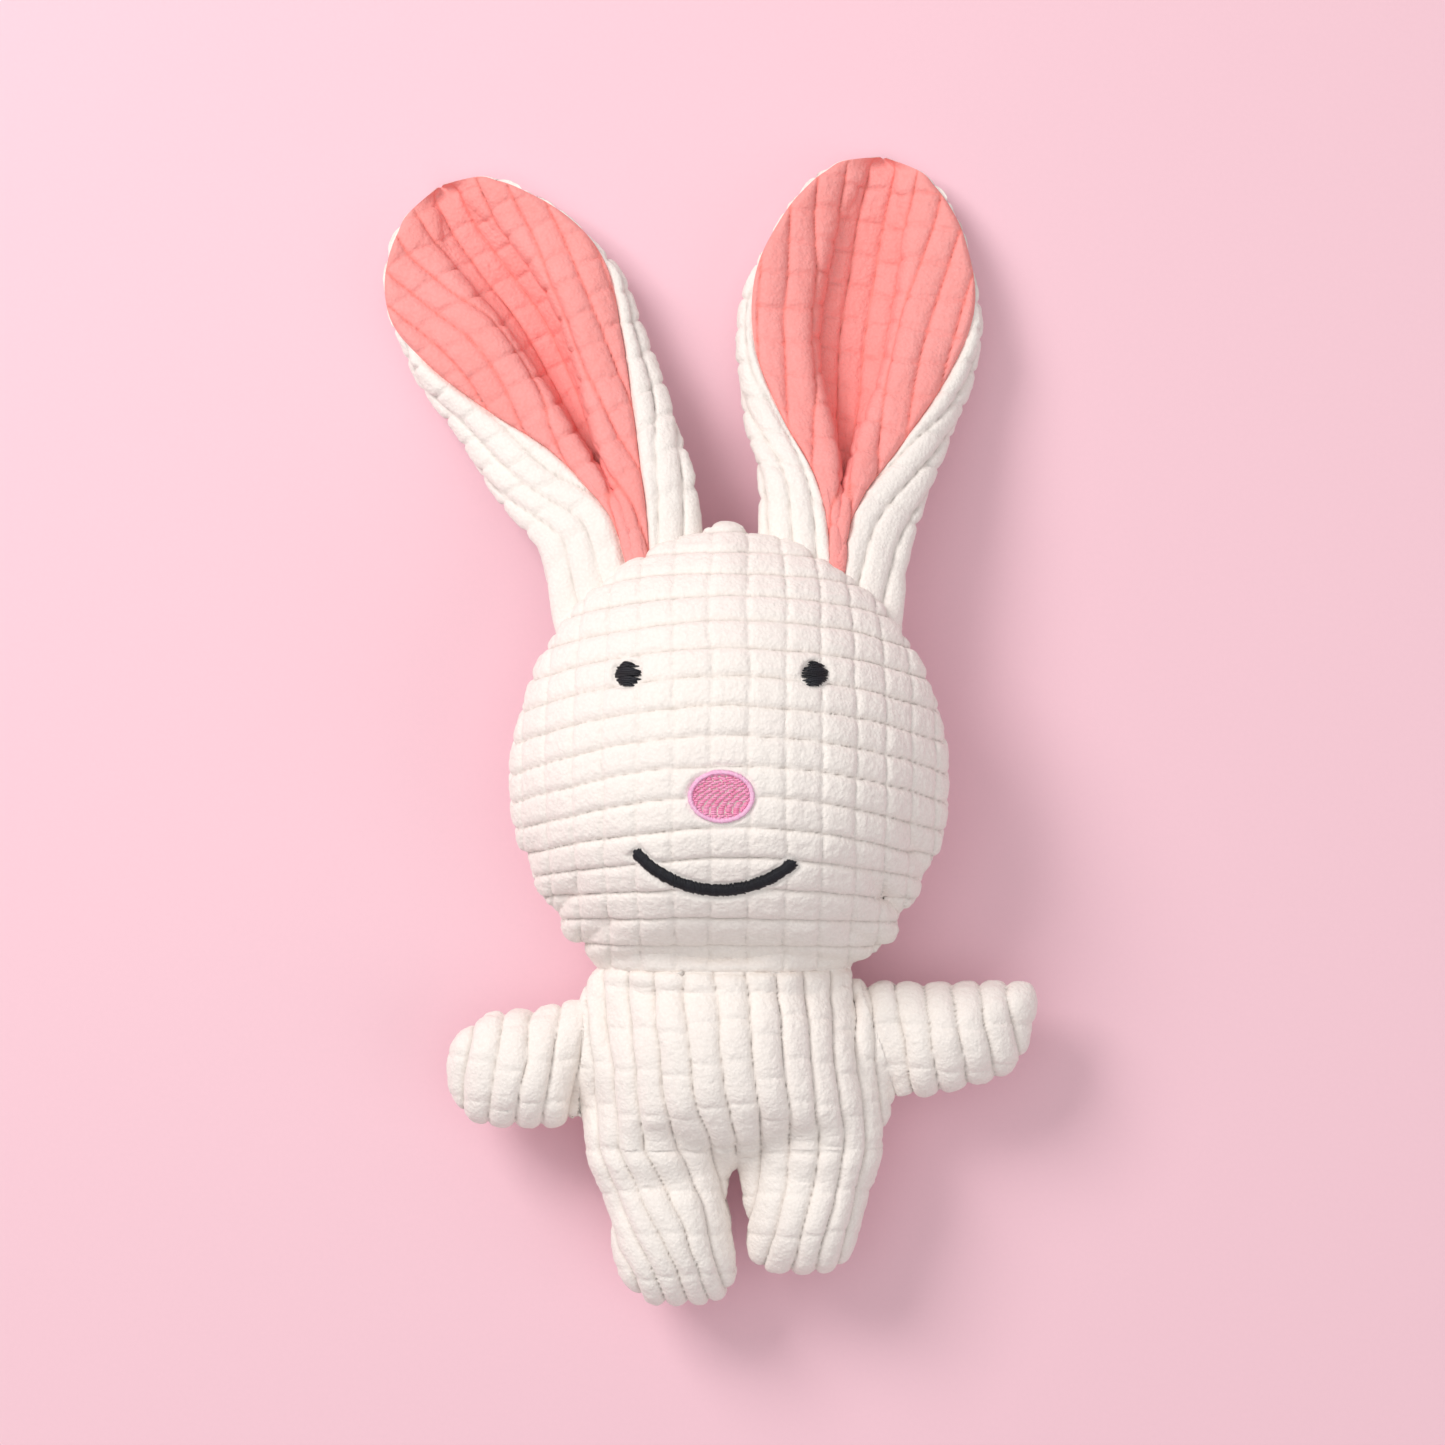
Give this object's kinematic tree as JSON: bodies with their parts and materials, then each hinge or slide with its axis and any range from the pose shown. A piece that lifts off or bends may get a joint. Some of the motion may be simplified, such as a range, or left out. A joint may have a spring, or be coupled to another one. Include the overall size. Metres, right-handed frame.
{
  "type": "stuffed bunny rabbit",
  "caption": "Soft stuffed rabbit toy in checked corduroy plush, with unstuffed coral-lined ears, embroidered face, and limbs, ears and head that fold at their seams.",
  "frame": {"origin": "middle of the torso's back, on the surface that the toy lies on", "axes": "+X to the viewer's right, +Y from the feet towards the ears, +Z out of the face, away from the surface"},
  "size_m": [0.1642, 0.3049, 0.0739],
  "materials": {
    "plush_white": "matte",
    "plush_coral": "matte",
    "fibre_filling": "matte",
    "thread_black": "satin",
    "thread_pink": "satin",
    "thread_pink_edge": "satin",
    "thread_white": "satin"
  },
  "bodies": {
    "torso": {"torso_front": "plush_white", "torso_back": "plush_white", "torso_stuffing": "fibre_filling", "closing_stitches": "thread_white"},
    "head": {"face_panel": "plush_white", "head_back_panel": "plush_white", "head_stuffing": "fibre_filling", "eye_left": "thread_black", "eye_right": "thread_black", "nose": "thread_pink", "nose_border": "thread_pink_edge", "mouth": "thread_black"},
    "ear_left": {"ear_left_lining": "plush_coral", "ear_left_back": "plush_white"},
    "ear_right": {"ear_right_lining": "plush_coral", "ear_right_back": "plush_white"},
    "arm_left": {"arm_left_front": "plush_white", "arm_left_back": "plush_white", "arm_left_stuffing": "fibre_filling"},
    "arm_right": {"arm_right_front": "plush_white", "arm_right_back": "plush_white", "arm_right_stuffing": "fibre_filling"},
    "leg_left": {"leg_left_front": "plush_white", "leg_left_back": "plush_white", "leg_left_stuffing": "fibre_filling"},
    "leg_right": {"leg_right_front": "plush_white", "leg_right_back": "plush_white", "leg_right_stuffing": "fibre_filling"}
  },
  "joints": [
    {"name": "neck_nod", "type": "hinge", "parent": "torso", "child": "head", "pos_m": [0, 0.025, 0.0235], "axis": [1, 0, 0], "range_deg": [-20, 25], "stiffness_Nm_per_rad": 0.6},
    {"name": "ear_left_fold", "type": "hinge", "parent": "head", "child": "ear_left", "pos_m": [-0.02362, 0.13627, 0.0365], "axis": [0.8682, 0.4962, 0], "range_deg": [-45, 55], "stiffness_Nm_per_rad": 0.08},
    {"name": "ear_right_fold", "type": "hinge", "parent": "head", "child": "ear_right", "pos_m": [0.02762, 0.13627, 0.0365], "axis": [0.8682, -0.4962, 0], "range_deg": [-45, 55], "stiffness_Nm_per_rad": 0.08},
    {"name": "arm_left_fold", "type": "hinge", "parent": "torso", "child": "arm_left", "pos_m": [-0.0365, 0.00375, 0.0235], "axis": [0.0704, 0.9975, 0], "range_deg": [-35, 60], "stiffness_Nm_per_rad": 0.03},
    {"name": "arm_right_fold", "type": "hinge", "parent": "torso", "child": "arm_right", "pos_m": [0.04103, 0.00698, 0.0235], "axis": [0.3173, -0.9483, 0], "range_deg": [-35, 60], "stiffness_Nm_per_rad": 0.03},
    {"name": "leg_left_fold", "type": "hinge", "parent": "torso", "child": "leg_left", "pos_m": [-0.01825, -0.0215, 0.0235], "axis": [-1, 0, 0], "range_deg": [-30, 50], "stiffness_Nm_per_rad": 0.04},
    {"name": "leg_right_fold", "type": "hinge", "parent": "torso", "child": "leg_right", "pos_m": [0.02425, -0.0215, 0.0235], "axis": [-1, 0, 0], "range_deg": [-30, 50], "stiffness_Nm_per_rad": 0.04}
  ]
}
